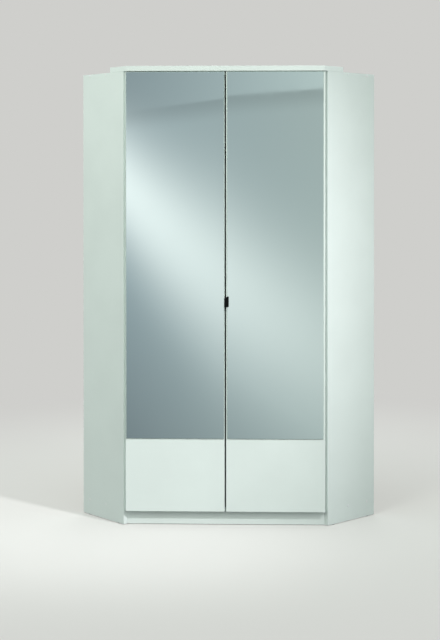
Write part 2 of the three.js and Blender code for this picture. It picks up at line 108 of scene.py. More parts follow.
COVER_OFFS = (48 * MM, 168 * MM)  # of the screw covers, off the wall

# Nails of the back panels
NAIL_HEIGHT = 0.7 * MM
NAIL_MARGINS = (80 * MM, 50 * MM)  # of a board's row, from the room corner and from the wing
POST_NAIL = (32 * MM, 130 * MM)  # the lowest in the post: out along the wall, and up
POST_NAIL_SPAN = 1.8
POST_NAIL_PITCH = 1.5  # as a share of the boards' pitch

# Sections of small heads from the rim to the middle, as shares of their radius and height
COVER_SECTION = ((1, 0.4), (0.9, 0.85), (0.6, 1), (0, 1))
NAIL_SECTION = ((1, 3 / 7), (0.7, 6 / 7), (0, 1))
SCREW_SECTION = ((1, 0), (1, 0.4), (0.86, 0.8), (0.55, 1), (0, 1))
SCREW_UNDERSIDE = 0.9  # share of a screw head's radius under its rim
RECESS_ARM = (0.15, 0.52)  # half width and length of a cross recess's arms, as shares of the head's radius
RECESS_LEVELS = (0.3, 1.2)  # its floor and the cutter's top, as shares of the head's height
RECESS_TAPER = 0.8  # size of its floor, as a share of its mouth

# Mesh work
WELD = 0.02 * MM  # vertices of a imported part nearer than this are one
FLAT = math.radians(0.5)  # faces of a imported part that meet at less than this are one
SINK = 0.1 * MM  # how far a small head starts below the face that it lies on
OVERRUN = 1 * MM  # how far a cutter passes the face that it enters
LOOKS_THAT_WAY = 0.9  # a face looks one way if its normal's share of that way is more than this

# Patterns
NOISE = {"From Min": 0.3, "From Max": 0.7}  # where nearly all of a noise lies
SPECK = {"To Min": 0.985, "To Max": 1.015}  # how much a grain darkens and lightens a colour
WAVE_SPACING = 2 * math.pi / 20  # of a wave texture's bands, at a scale of one

# The room that the mirrors show. A way's aside is its X, moved so that the gleam's bend has its middle at zero.
GLEAM_ASIDE = 0.0093  # added to a way's X
GLEAM_SLOPE = Vector((0.589, -0.1074, 1.0))
GLEAM_BEND = 1.83  # times the square of aside
GLEAM_LEVEL = -0.0062  # of the main gleam's middle
OTHER_GLEAMS = (-0.5, 0.48)  # the middles of two more, which the mirrors show from other sides
OTHER_WIDTH, OTHER_POWER = 0.14, 0.3
BOTH_MIRRORS = {"From Min": -0.126, "From Max": 0.02}  # in aside, where the camera sees them reflect
LEFT_MIRROR = {"From Min": -0.126, "From Max": -0.06}
RIGHT_MIRROR = {"From Min": -0.062, "From Max": 0.011}  # in X
CEILING_NORMAL = Vector((-0.1351, 0.0715, 1.0)).normalized()  # of the plane of the ceiling's edge
MIRROR_SHARE = 0.89  # of the light, which a mirror gives back


def linear(code):
    """The linear colour of an sRGB hex value."""
    parts = [int(code[i : i + 2], 16) / 255 for i in (1, 3, 5)]
    return tuple(c / 12.92 if c <= NEAR_BLACK else ((c + 0.055) / 1.055) ** 2.4 for c in parts)


def plan(side, out, off, z=0.0):
    """The point a distance out along its side's wall and a distance off that wall."""
    return Vector((side * (out - off) * HALF_ROOT, CORNER_Y - (out + off) * HALF_ROOT, z))


def outward(side):
    """The direction out along a side's wall, which is the way a wing's outer face looks."""
    return Vector((side, -1, 0)) * HALF_ROOT


def off_wall(side):
    """The direction off a side's wall, which is the way a wing's front edge looks."""
    return Vector((-side, -1, 0)) * HALF_ROOT


# Settings


def colour_setting(name, description, code):
    """A colour that a user can change, from an sRGB hex value."""
    return FloatVectorProperty(name=name, description=description, size=3, subtype="COLOR", default=linear(code))


def length_setting(name, description, default):
    """A length that a user can change."""
    return FloatProperty(name=name, description=description, default=default, unit="LENGTH", subtype="DISTANCE")


def angle_setting(name, description, degrees):
    """An angle that a user can change."""
    default = math.radians(degrees)
    return FloatProperty(name=name, description=description, default=default, unit="ROTATION", subtype="ANGLE")


def power_setting(name, description, watts):
    """A lamp's power that a user can change."""
    return FloatProperty(name=name, description=description, default=watts, unit="POWER")


class BoardLooks(bpy.types.PropertyGroup):
    """Colours and edge sizes of the boards."""

    melamine: colour_setting("Melamine", "Colour of the faced boards", "#ecf5f1")
    band: colour_setting("Edge band", "Colour of the edge bands", "#edf6f2")
    chipboard: colour_setting("Chipboard", "Colour of bare chipboard", "#b8986c")
    hardboard_face: colour_setting("Hardboard face", "Colour of the lacquered side of the back panels", "#e4ebe4")
    hardboard_back: colour_setting("Hardboard back", "Colour of the bare side of the back panels", "#8d6a48")
    edge_radius: length_setting("Edge radius", "Rounding of the banded edges", 0.6 * MM)
    pin_hole_pitch: length_setting("Pin hole pitch", "Height between two shelf-pin holes", 32 * MM)
    pin_hole_diameter: length_setting("Pin hole diameter", "Bore of the shelf-pin holes", 5 * MM)
    pin_hole_depth: length_setting("Pin hole depth", "Depth of the shelf-pin holes", 10 * MM)
    holes_below: IntProperty(
        name="Holes below the pins", description="Number of holes under each shelf pin", default=34, min=1,
    )
    holes_above: IntProperty(
        name="Holes above the pins", description="Number of holes over each shelf pin", default=5, min=1,
    )


class FittingLooks(bpy.types.PropertyGroup):
    """Colours and sizes of the glass, the metal and the plastic fittings."""

    mirror: colour_setting("Mirror", "Tint of the silvered glass", "#eff3f2")
    glass_edge: colour_setting("Glass edge", "Colour of the ground glass edge", "#b9d2c8")
    black_plastic: colour_setting("Black plastic", "Colour of the pull", "#070809")
    grey_plastic: colour_setting("Grey plastic", "Colour of pins, caps and glides", "#9da1a0")
    cover_plastic: colour_setting("Cover plastic", "Colour of the screw covers", "#f1f6f4")
    nickel: colour_setting("Nickel", "Colour of the nickel-plated steel", "#dcd9d1")
    zinc: colour_setting("Zinc", "Colour of the zinc-plated steel", "#c6cbce")
    arris: length_setting("Arris", "Width of the ground arris round each mirror", 0.8 * MM)
    cover_diameter: length_setting("Cover diameter", "Diameter of the screw covers", 12 * MM)
    cover_height: length_setting("Cover height", "How far a screw cover stands proud", 0.9 * MM)
    nail_diameter: length_setting("Nail head diameter", "Diameter of the back panels' nail heads", 5 * MM)
    nail_pitch: length_setting("Nail pitch", "Distance between two nails", 110 * MM)


class StudioSettings(bpy.types.PropertyGroup):
    """The camera, the lamps and the colours of the studio."""

    eye: FloatVectorProperty(
        name="Eye", description="Place of the camera", size=3, subtype="TRANSLATION", unit="LENGTH",
        default=(0.3579, -6.2017, 1.4873),
    )
    yaw: angle_setting("Yaw", "Turn of the camera to the left", 1.581)
    pitch: angle_setting("Pitch", "Tilt of the camera upwards", -0.414)
    focal_length: FloatProperty(
        name="Focal length", description="In millimetres, for a 36 mm sensor", default=75.4, unit="CAMERA",
    )
    backdrop: colour_setting("Backdrop", "Colour behind the wardrobe", "#cfcfcc")
    floor: colour_setting("Floor", "Colour of the floor", "#e6e6e3")
    key_power: power_setting("Key power", "Power of the lamp at the right front", 2308)
    side_power: power_setting("Side power", "Power of the soft box at the left front", 61)
    rear_power: power_setting("Rear power", "Power of the soft box behind", 60)
    horizon: FloatProperty(name="Horizon light", description="Strength of the even light at the horizon", default=1.157)
    zenith: FloatProperty(name="Zenith light", description="Strength of the even light overhead", default=0.634)


GROUPS = {"wardrobe_boards": BoardLooks, "wardrobe_fittings": FittingLooks, "wardrobe_studio": StudioSettings}


# Nodes and materials


def feed(tree, node, inputs):
    """Gives a node's inputs their values or links."""
    for key, value in inputs.items():
        if isinstance(value, bpy.types.NodeSocket):
            tree.links.new(value, node.inputs[key])
        else:
            node.inputs[key].default_value = value


def add(tree, kind, inputs=None, **settings):
    """Adds a node with its settings, and gives its inputs their values or links."""
    made = tree.nodes.new(kind)
    for name, value in settings.items():
        setattr(made, name, value)
    feed(tree, made, inputs or {})
    return made


def shaded(name, **constants):
    """A material with one Principled shader, whose constants are set on its own sockets, and its Object coordinates.

    A constant's name is its socket's, with _ for each space.
    """
    made = bpy.data.materials.new(name)
    made.use_nodes = True
    tree = made.node_tree
    shader = tree.nodes["Principled BSDF"]
    feed(tree, shader, {key.replace("_", " "): value for key, value in constants.items()})
    return made, tree, shader, add(tree, "ShaderNodeTexCoord").outputs["Object"]


def patterned(name, colour, other, patch, grain, roughness, relief, stretch=(1, 1, 1), **constants):
    """A material whose colour drifts to another over patches, with a grain in its tone, roughness and relief.

    patch and grain are real sizes in metres, roughness is a (least, most) pair, and relief is the grain's depth.
    """
    made, tree, shader, place = shaded(name, **constants)
    along = add(tree, "ShaderNodeMapping", {"Vector": place, "Scale": stretch}).outputs["Vector"]
    broad = add(tree, "ShaderNodeTexNoise", {"Vector": along, "Scale": 1 / patch, "Detail": 3.0, "Roughness": 0.5})
    fine = add(tree, "ShaderNodeTexNoise", {"Vector": along, "Scale": 1 / grain, "Detail": 2.0, "Roughness": 0.6})
    patches = {"Value": broad.outputs["Fac"], "From Min": 0.35, "From Max": 0.65}
    share = add(tree, "ShaderNodeMapRange", patches).outputs[0]
    drift = add(tree, "ShaderNodeMix", {0: share, 6: (*colour, 1), 7: (*other, 1)}, data_type="RGBA").outputs[2]
    grains = {"Value": fine.outputs["Fac"], **NOISE}
    speck = add(tree, "ShaderNodeMapRange", {**grains, **SPECK}).outputs[0]
    tone = add(tree, "ShaderNodeVectorMath", {0: drift, "Scale": speck}, operation="SCALE")
    gloss = add(tree, "ShaderNodeMapRange", {**grains, "To Min": roughness[0], "To Max": roughness[1]})
    bump = add(tree, "ShaderNodeBump", {"Height": fine.outputs["Fac"], "Strength": 0.6, "Distance": relief})
    feed(tree, shader, {"Base Color": tone.outputs[0], "Roughness": gloss.outputs[0], "Normal": bump.outputs[0]})
    return made


def scaled(colour, factor):
    """A colour times a factor."""
    return tuple(c * factor for c in colour)


MATERIALS = {}


def material(name):
    """The material of that name, made when it is first asked for."""
    if name not in MATERIALS:
        scene = bpy.context.scene
        MATERIALS[name] = MAKERS[name](scene.wardrobe_boards, scene.wardrobe_fittings)
    return MATERIALS[name]


def white_melamine(boards, fittings):
    # Paper soaked in melamine resin, pressed on chipboard against a finely textured plate: an even white with a soft,
    # broken gloss. The plate's grain is about 0.3 mm and is drawn at 1.5 mm, so that it shows.
    return patterned(
        "white_melamine", boards.melamine, scaled(boards.melamine, 0.965),
        patch=240 * MM, grain=1.5 * MM, roughness=(0.38, 0.5), relief=0.05 * MM, IOR=1.52,
    )


def white_edge_band(boards, fittings):
    # A 0.8 mm band of extruded ABS, glued on and trimmed: a touch whiter and glossier than the faces, with faint lines
    # up the upright edges from the trimming knife, about 1 mm apart.
    return patterned(
        "white_edge_band", boards.band, scaled(boards.band, 0.97), stretch=(1, 1, 0.05),
        patch=120 * MM, grain=1 * MM, roughness=(0.28, 0.38), relief=0.02 * MM, IOR=1.53,
    )


def bare_chipboard(boards, fittings):
    # Pressed wood chips, sawn and left bare: chips of 1 to 3 mm in several browns, rough to the touch.
    made, tree, shader, place = shaded("bare_chipboard", Specular_IOR_Level=0.25)
    chips = add(tree, "ShaderNodeTexVoronoi", {"Vector": place, "Scale": 1 / (2 * MM)}).outputs
    shade = add(tree, "ShaderNodeSeparateColor", {"Color": chips["Color"]}).outputs
    browns = {0: shade["Red"], 6: (*boards.chipboard, 1), 7: (*scaled(boards.chipboard, 0.55), 1)}
    tone = add(tree, "ShaderNodeMix", browns, data_type="RGBA")
    rough = add(tree, "ShaderNodeMapRange", {"Value": shade["Green"], "To Min": 0.75, "To Max": 0.95})
    bump = add(tree, "ShaderNodeBump", {"Height": chips["Distance"], "Strength": 0.7, "Distance": 0.3 * MM})
    feed(tree, shader, {"Base Color": tone.outputs[2], "Roughness": rough.outputs[0], "Normal": bump.outputs[0]})
    return made


def lacquered_hardboard(boards, fittings):
    # Thin fibreboard rolled with a white lacquer: flatter and a little duller than the melamine.
    return patterned(
        "lacquered_hardboard", boards.hardboard_face, scaled(boards.hardboard_face, 0.95),
        patch=160 * MM, grain=2 * MM, roughness=(0.5, 0.62), relief=0.05 * MM,
    )


def bare_hardboard(boards, fittings):
    # The other side of the same board, pressed against a wire screen: brown fibres, with the screen's crossed wires
    # about 1.6 mm apart, drawn at 9 mm so that they show. The panels stand at 45 degrees to X.
    made, tree, shader, place = shaded("bare_hardboard", Specular_IOR_Level=0.3)
    fibre = {"Vector": place, "Scale": 1 / (14 * MM), "Detail": 6.0, "Roughness": 0.65}
    fibres = add(tree, "ShaderNodeTexNoise", fibre).outputs["Fac"]
    wires = [
        add(
            tree, "ShaderNodeTexWave", {"Vector": place, "Scale": WAVE_SPACING / spacing, "Distortion": 0.3},
            wave_type="BANDS", bands_direction=axis,
        ).outputs["Fac"]
        for axis, spacing in (("X", 9 * MM * HALF_ROOT), ("Z", 9 * MM))
    ]
    screen = add(tree, "ShaderNodeMath", dict(enumerate(wires)), operation="MULTIPLY").outputs[0]
    share = add(tree, "ShaderNodeMapRange", {"Value": fibres, **NOISE}).outputs[0]
    browns = {0: share, 6: (*boards.hardboard_back, 1), 7: (*scaled(boards.hardboard_back, 0.7), 1)}
    tone = add(tree, "ShaderNodeMix", browns, data_type="RGBA")
    rough = add(tree, "ShaderNodeMapRange", {"Value": screen, "To Min": 0.7, "To Max": 0.85})
    bump = add(tree, "ShaderNodeBump", {"Height": screen, "Strength": 0.6, "Distance": 0.2 * MM})
    feed(tree, shader, {"Base Color": tone.outputs[2], "Roughness": rough.outputs[0], "Normal": bump.outputs[0]})
    return made


def silvered_glass(boards, fittings):
    # Float glass silvered on its back: a clear mirror, a little green-grey, with a faint haze of wiped patches a hand
    # wide that dulls it by a hair.
    made, tree, shader, place = shaded("silvered_float_glass", Metallic=1.0)
    haze = add(tree, "ShaderNodeTexNoise", {"Vector": place, "Scale": 1 / (90 * MM), "Detail": 4.0}).outputs["Fac"]
    tints = {0: haze, 6: (*fittings.mirror, 1), 7: (*scaled(fittings.mirror, 0.985), 1)}
    tone = add(tree, "ShaderNodeMix", tints, data_type="RGBA")
    gloss = add(tree, "ShaderNodeMapRange", {"Value": haze, **NOISE, "To Min": 0.012, "To Max": 0.03})
    feed(tree, shader, {"Base Color": tone.outputs[2], "Roughness": gloss.outputs[0]})
    return made


def ground_glass(boards, fittings):
    # The mirror's edge, ground with a fine wheel: frosted green-white, with fine marks about 0.5 mm apart.
    return patterned(
        "ground_glass_edge", fittings.glass_edge, scaled(fittings.glass_edge, 0.9),
        patch=40 * MM, grain=0.5 * MM, roughness=(0.3, 0.45), relief=0.02 * MM, IOR=1.52,
    )


def satin_black_abs(boards, fittings):
    # ABS moulded in a fine spark-eroded tool: black with a satin skin, grain of about 0.4 mm drawn at 0.8 mm.
    return patterned(
        "satin_black_abs", fittings.black_plastic, scaled(fittings.black_plastic, 1.5), patch=12 * MM, grain=0.8 * MM,
        roughness=(0.34, 0.48), relief=0.03 * MM, IOR=1.53, Specular_IOR_Level=0.14,
    )


def moulded_grey(boards, fittings):
    # Moulded polyamide: mid grey, smooth with a slightly uneven flow.
    return patterned(
        "moulded_grey_polyamide", fittings.grey_plastic, scaled(fittings.grey_plastic, 0.93),
        patch=8 * MM, grain=0.8 * MM, roughness=(0.42, 0.55), relief=0.02 * MM, IOR=1.53,
    )


def moulded_cover(boards, fittings):
    # Polyethylene covers pressed over the screws: a soft, slightly milky white.
    return patterned(
        "moulded_white_cover", fittings.cover_plastic, scaled(fittings.cover_plastic, 0.97),
        patch=6 * MM, grain=0.8 * MM, roughness=(0.35, 0.45), relief=0.01 * MM,
        IOR=1.51, Subsurface_Weight=0.1, Subsurface_Scale=1 * MM,
    )


def soft_bumper(boards, fittings):
    # Cast clear urethane: pale and milky, a little see-through where it is thin.
    return patterned(
        "cast_clear_urethane", linear("#d9dcd6"), linear("#cfd4cc"), patch=4 * MM, grain=0.8 * MM,
        roughness=(0.2, 0.3), relief=0.01 * MM, IOR=1.49, Transmission_Weight=0.35,
    )


def nickel_plate(boards, fittings):
    # Pressed steel, tumbled and nickel-plated: warm and bright, with fine upright scratches.
    return patterned(
        "nickel_plated_steel", fittings.nickel, scaled(fittings.nickel, 0.9), stretch=(1, 1, 0.2),
        patch=15 * MM, grain=1 * MM, roughness=(0.26, 0.38), relief=0.004 * MM, Metallic=1.0,
    )


def zinc_plate(boards, fittings):
    # Steel, zinc-plated and passivated: cooler and duller than nickel, with cloudy patches a few millimetres wide.
    return patterned(
        "zinc_plated_steel", fittings.zinc, scaled(fittings.zinc, 0.82),
        patch=6 * MM, grain=1 * MM, roughness=(0.3, 0.45), relief=0.01 * MM, Metallic=1.0,
    )


def rail_chrome(boards, fittings):
    # Welded steel tube, drawn oval and chromed: bright, with faint lines along its length from the drawing die.
    return patterned(
        "chromed_drawn_tube", linear("#d4d5d4"), linear("#c6c8c8"), stretch=(0.03, 1, 1),
        patch=60 * MM, grain=1 * MM, roughness=(0.1, 0.18), relief=0.005 * MM, Metallic=1.0,
    )


MAKERS = {
    "melamine": white_melamine,
    "band": white_edge_band,
    "chipboard": bare_chipboard,
    "hardboard_face": lacquered_hardboard,
    "hardboard_back": bare_hardboard,
    "mirror": silvered_glass,
    "glass_edge": ground_glass,
    "black": satin_black_abs,
    "grey": moulded_grey,
    "cover": moulded_cover,
    "bumper": soft_bumper,
    "nickel": nickel_plate,
    "zinc": zinc_plate,
    "chrome": rail_chrome,
}


# Meshes


def object_from(shape, name, *finishes):
    """An object at the origin from a bmesh, with materials."""
    mesh = bpy.data.meshes.new(name)
    shape.to_mesh(mesh)
    shape.free()
    for finish in finishes:
        mesh.materials.append(material(finish))
    made = bpy.data.objects.new(name, mesh)
    bpy.context.scene.collection.objects.link(made)
    return made


def discard(obj):
    """Removes an object and its mesh."""
    mesh = obj.data
    bpy.data.objects.remove(obj)
    bpy.data.meshes.remove(mesh)


def made_plain(obj):
    """Turns an object's modifiers into its mesh."""
    graph = bpy.context.evaluated_depsgraph_get()
    mesh = bpy.data.meshes.new_from_object(obj.evaluated_get(graph), preserve_all_data_layers=True, depsgraph=graph)
    old = obj.data
    obj.modifiers.clear()
    obj.data = mesh
    bpy.data.meshes.remove(old)
    mesh.name = obj.name
    return obj


def copied(node):
    """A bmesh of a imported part, its loose triangles merged and its flat faces joined."""
    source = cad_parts[node].data
    shape = bmesh.new()
    points = [shape.verts.new(v.co) for v in source.vertices]
    for face in source.polygons:
        shape.faces.new([points[i] for i in face.vertices])
    bmesh.ops.remove_doubles(shape, verts=shape.verts, dist=WELD)
    bmesh.ops.dissolve_limit(shape, angle_limit=FLAT, verts=shape.verts, edges=shape.edges)
    return shape


def rounded(obj, radius, segments=2, angle=40):
    """Rounds an object's edges that are sharper than an angle in degrees."""
    bevel = obj.modifiers.new("edges", "BEVEL")
    bevel.width = radius
    bevel.segments = segments
    bevel.limit_method = "ANGLE"
    bevel.angle_limit = math.radians(angle)
    return made_plain(obj)


def minus(obj, cutter):
    """Cuts another object out of an object and removes it."""
    cut = obj.modifiers.new("cut", "BOOLEAN")
    cut.operation = "DIFFERENCE"
    cut.solver = "EXACT"
    cut.object = cutter
    cut.material_mode = "TRANSFER"
    made_plain(obj)
    discard(cutter)
    return obj


def turned(profile, segments):
    """A closed body turned round Z, from [radius, height] points that start and end on the axis."""
    shape = bmesh.new()
    angles = [2 * math.pi * i / segments for i in range(segments)]
    rings = [
        [shape.verts.new((r * math.cos(a), r * math.sin(a), z)) for a in (angles if r else angles[:1])]
        for r, z in profile
    ]
    for low, high in zip(rings, rings[1:]):
        for i in range(segments):
            j = (i + 1) % segments
            corners = [low[i % len(low)], low[j % len(low)], high[j % len(high)], high[i % len(high)]]
            shape.faces.new(list(dict.fromkeys(corners)))
    bmesh.ops.recalc_face_normals(shape, faces=shape.faces)
    return shape


def column(outline, low, high, taper=1.0):
    """An upright body on an outline of [x, y] points, its lower end narrowed by taper."""
    shape = bmesh.new()
    ends = [[shape.verts.new((x * k, y * k, z)) for x, y in outline] for z, k in ((low, taper), (high, 1.0))]
    shape.faces.new(ends[0])
    shape.faces.new(ends[1])
    for i in range(len(outline)):
        j = (i + 1) % len(outline)
        shape.faces.new([ends[0][i], ends[0][j], ends[1][j], ends[1][i]])
    bmesh.ops.recalc_face_normals(shape, faces=shape.faces)
    return shape


def drill(name, radius, depth, segments, finish):
    """A cutter for a hole of a depth below the XY plane."""
    profile = [[0, -depth], [radius, -depth], [radius, OVERRUN], [0, OVERRUN]]
    return object_from(turned(profile, segments), name, finish)


def plain_headed(name, radius, height, section, segments, finish):
    """A low round head over the XY plane."""
    profile = [[0, -SINK], [radius, -SINK], *([radius * r, height * z] for r, z in section)]
    return object_from(turned(profile, segments), name, finish)


def cross_headed(name, radius, height, stem=0.0, stem_radius=0.0):
    """A screw with a low domed head and a cross recess, its head over the XY plane and its stem below."""
    under = [[stem_radius, -stem], [stem_radius, 0]] if stem else [[radius * SCREW_UNDERSIDE, -SINK]]
    profile = [[0, -stem], *under, *([radius * r, height * z] for r, z in SCREW_SECTION)]
    head = object_from(turned(profile, segments=16), name, "zinc")
    wide, long = (radius * share for share in RECESS_ARM)
    arm = [[wide, wide], [wide, long], [-wide, long]]
    outline = [[x * c - y * s, x * s + y * c] for c, s in ((1, 0), (0, 1), (-1, 0), (0, -1)) for x, y in arm]
    floor, top = (height * share for share in RECESS_LEVELS)
    return minus(head, object_from(column(outline, floor, top, RECESS_TAPER), name + "_recess", "zinc"))


# What repeats: rows of one shape, built with geometry nodes


def row_tree():
    """Geometry nodes that add a row of one shape to a mesh.

    Each copy's Z axis turns to Facing, and it is spun round that axis by up to Spin, at random from a fixed seed.
    """
    tree = bpy.data.node_groups.new("row_of_fittings", "GeometryNodeTree")
    sockets = tree.interface
    sockets.new_socket("Geometry", in_out="OUTPUT", socket_type="NodeSocketGeometry")
    for label, kind in (
        ("Geometry", "Geometry"), ("Shape", "Object"), ("Start", "Vector"), ("Step", "Vector"), ("Count", "Int"),
        ("Facing", "Vector"), ("Spin", "Float"), ("Seed", "Int"), ("Material", "Material"),
    ):
        sockets.new_socket(label, in_out="INPUT", socket_type=f"NodeSocket{kind}")
    given = add(tree, "NodeGroupInput").outputs
    run = {"Count": given["Count"], "Start Location": given["Start"], "Offset": given["Step"]}
    line = add(tree, "GeometryNodeMeshLine", run, mode="OFFSET")
    shape = add(tree, "GeometryNodeObjectInfo", {"Object": given["Shape"]})
    aim = add(tree, "FunctionNodeAlignRotationToVector", {"Vector": given["Facing"]}, axis="Z")
    most = {2: 0.0, 3: given["Spin"], "Seed": given["Seed"]}
    angle = add(tree, "FunctionNodeRandomValue", most, data_type="FLOAT")
    spin = add(tree, "FunctionNodeAxisAngleToRotation", {"Axis": (0, 0, 1), "Angle": angle.outputs[1]})
    both = {"Rotation": aim.outputs[0], "Rotate By": spin.outputs[0]}
    turn = add(tree, "FunctionNodeRotateRotation", both, rotation_space="LOCAL")
    copies = add(tree, "GeometryNodeInstanceOnPoints", {
        "Points": line.outputs["Mesh"], "Instance": shape.outputs["Geometry"], "Rotation": turn.outputs[0],
    })
    joined = add(tree, "GeometryNodeJoinGeometry", {"Geometry": given["Geometry"]})
    tree.links.new(copies.outputs["Instances"], joined.inputs["Geometry"])
    real = add(tree, "GeometryNodeRealizeInstances", {"Geometry": joined.outputs["Geometry"]})
    finish = {"Geometry": real.outputs["Geometry"], "Material": given["Material"]}
    finished = add(tree, "GeometryNodeSetMaterial", finish)
    add(tree, "NodeGroupOutput", {"Geometry": finished.outputs["Geometry"]})
    return tree


def rows(name, shape, finish, runs, spin=math.pi / 2):
    """One plain mesh with every run of a shape. A run is (start, step, count, facing)."""
    tree = bpy.data.node_groups.get("row_of_fittings") or row_tree()
    names = {item.name: item.identifier for item in tree.interface.items_tree if item.in_out == "INPUT"}
    made = object_from(bmesh.new(), name, finish)
    for seed, (start, step, count, facing) in enumerate(runs):
        modifier = made.modifiers.new(f"row_{seed}", "NODES")
        modifier.node_group = tree
        values = {
            "Shape": shape, "Start": start, "Step": step, "Count": count, "Facing": facing,
            "Spin": spin, "Seed": seed, "Material": material(finish),
        }
        for label, value in values.items():
            modifier[names[label]] = tuple(value) if isinstance(value, Vector) else value
    made_plain(made)
    discard(shape)
    if not made.data.polygons:
        raise RuntimeError(f"{name} came out empty")
    return made


def pin_holes(name, looks, places):
    """Cutters for columns of shelf-pin holes, but for the pins' own level. A place is (point, facing)."""
    hole = drill(name + "_drill", looks.pin_hole_diameter / 2, looks.pin_hole_depth, 12, "chipboard")
    step = UP * looks.pin_hole_pitch
    runs = []
    for point, facing in places:
        runs.append((point - step * looks.holes_below, step, looks.holes_below, facing))
        runs.append((point + step, step, looks.holes_above, facing))
    return rows(name, hole, "chipboard", runs, spin=0.0)


def finished_faces(obj, plane, raw=()):
    """Gives faces across a plane's normal the first material, or all if it is None, and other faces the second.

    Of these, faces that look one of the raw ways get the third.
    """
    for face in obj.data.polygons:
        if plane is None or abs(face.normal.dot(plane)) > LOOKS_THAT_WAY:
            face.material_index = 0
        elif any(face.normal.dot(way) > LOOKS_THAT_WAY for way in raw):
            face.material_index = 2
        else:
            face.material_index = 1
    return obj


def faced(node, plane, raw=(), finishes=("melamine", "band", "chipboard")):
    """A packed board with rounded edges: faced across a plane's normal, banded on its edges, bare in the raw ways."""
    board = object_from(copied(node), "faced_" + node, *finishes)
    return finished_faces(rounded(board, bpy.context.scene.wardrobe_boards.edge_radius), plane, raw)


def settle(obj, body, slot, *nodes):
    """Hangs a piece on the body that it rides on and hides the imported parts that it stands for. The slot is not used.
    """
    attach(obj, body)
    if nodes:
        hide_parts(*nodes)


def refinish(finish, *nodes):
    """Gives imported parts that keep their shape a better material."""
    for node in nodes:
        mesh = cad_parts[node].data
        mesh.materials.clear()
        mesh.materials.append(material(finish))


# Operators


class WARDROBE_OT_boards(bpy.types.Operator):
    """Makes the faced boards of the carcase, with banded edges and rows of shelf-pin holes"""

    bl_idname = "wardrobe.boards"
    bl_label = "Carcase boards"

    def execute(self, context):
        looks = context.scene.wardrobe_boards
        for word, side in SIDES.items():
            node = f"{word}_side_panel"
            wing = faced(node, outward(side), (-UP, -off_wall(side)))
            places = [(plan(side, WING_INNER, off, PIN_LEVEL), -outward(side)) for off in PIN_OFFS]
            settle(minus(wing, pin_holes(f"{word}_holes", looks, places)), "carcase", "white_melamine", node)
        for node, plane, raw in (
            ("top_board", UP, (BACK,)),
            ("bottom_board", UP, (BACK,)),
            ("hat_shelf", UP, (BACK,)),
            ("plinth_rail", BACK, (-UP,)),
            ("top_rail", UP, ()),
        ):
            settle(faced(node, plane, raw), "carcase", "white_melamine", node)
        flat = Vector((0, POST_FLAT_Y, PIN_LEVEL))
        post = minus(faced("corner_post", None), pin_holes("post_holes", looks, [(flat, -BACK)]))
        settle(post, "carcase", "white_melamine", "corner_post")
        return {"FINISHED"}


class WARDROBE_OT_back_panels(bpy.types.Operator):
    """Makes the thin back panels, lacquered on the inside and bare on the outside"""

    bl_idname = "wardrobe.back_panels"
    bl_label = "Back panels"

    def execute(self, context):
        for word, side in SIDES.items():
            node = f"{word}_back_panel"
            panel = object_from(copied(node), "hardboard_" + node, "hardboard_face", "hardboard_back")
            rounded(panel, 0.2 * MM, segments=1)
            for face in panel.data.polygons:
                face.material_index = 0 if face.normal.dot(off_wall(side)) > LOOKS_THAT_WAY else 1
            settle(panel, "carcase", "white_hardboard", node)
        return {"FINISHED"}


class WARDROBE_OT_doors(bpy.types.Operator):
    """Makes the two door panels with banded edges"""

    bl_idname = "wardrobe.doors"
    bl_label = "Door panels"

    def execute(self, context):
        for word in SIDES:
            node = f"{word}_door_panel"
            settle(faced(node, BACK, finishes=("melamine", "band")), f"{word}_door", "white_melamine", node)
        return {"FINISHED"}


class WARDROBE_OT_mirrors(bpy.types.Operator):
    """Makes the two mirrors with a ground arris"""

    bl_idname = "wardrobe.mirrors"
    bl_label = "Mirrors"

    def execute(self, context):
        looks = context.scene.wardrobe_fittings
        for word in SIDES:
            node = f"{word}_mirror"
            glass = object_from(copied(node), "silvered_" + node, "mirror", "glass_edge")
            settle(finished_faces(rounded(glass, looks.arris, segments=1), BACK), f"{word}_door", "mirror_glass", node)
        return {"FINISHED"}


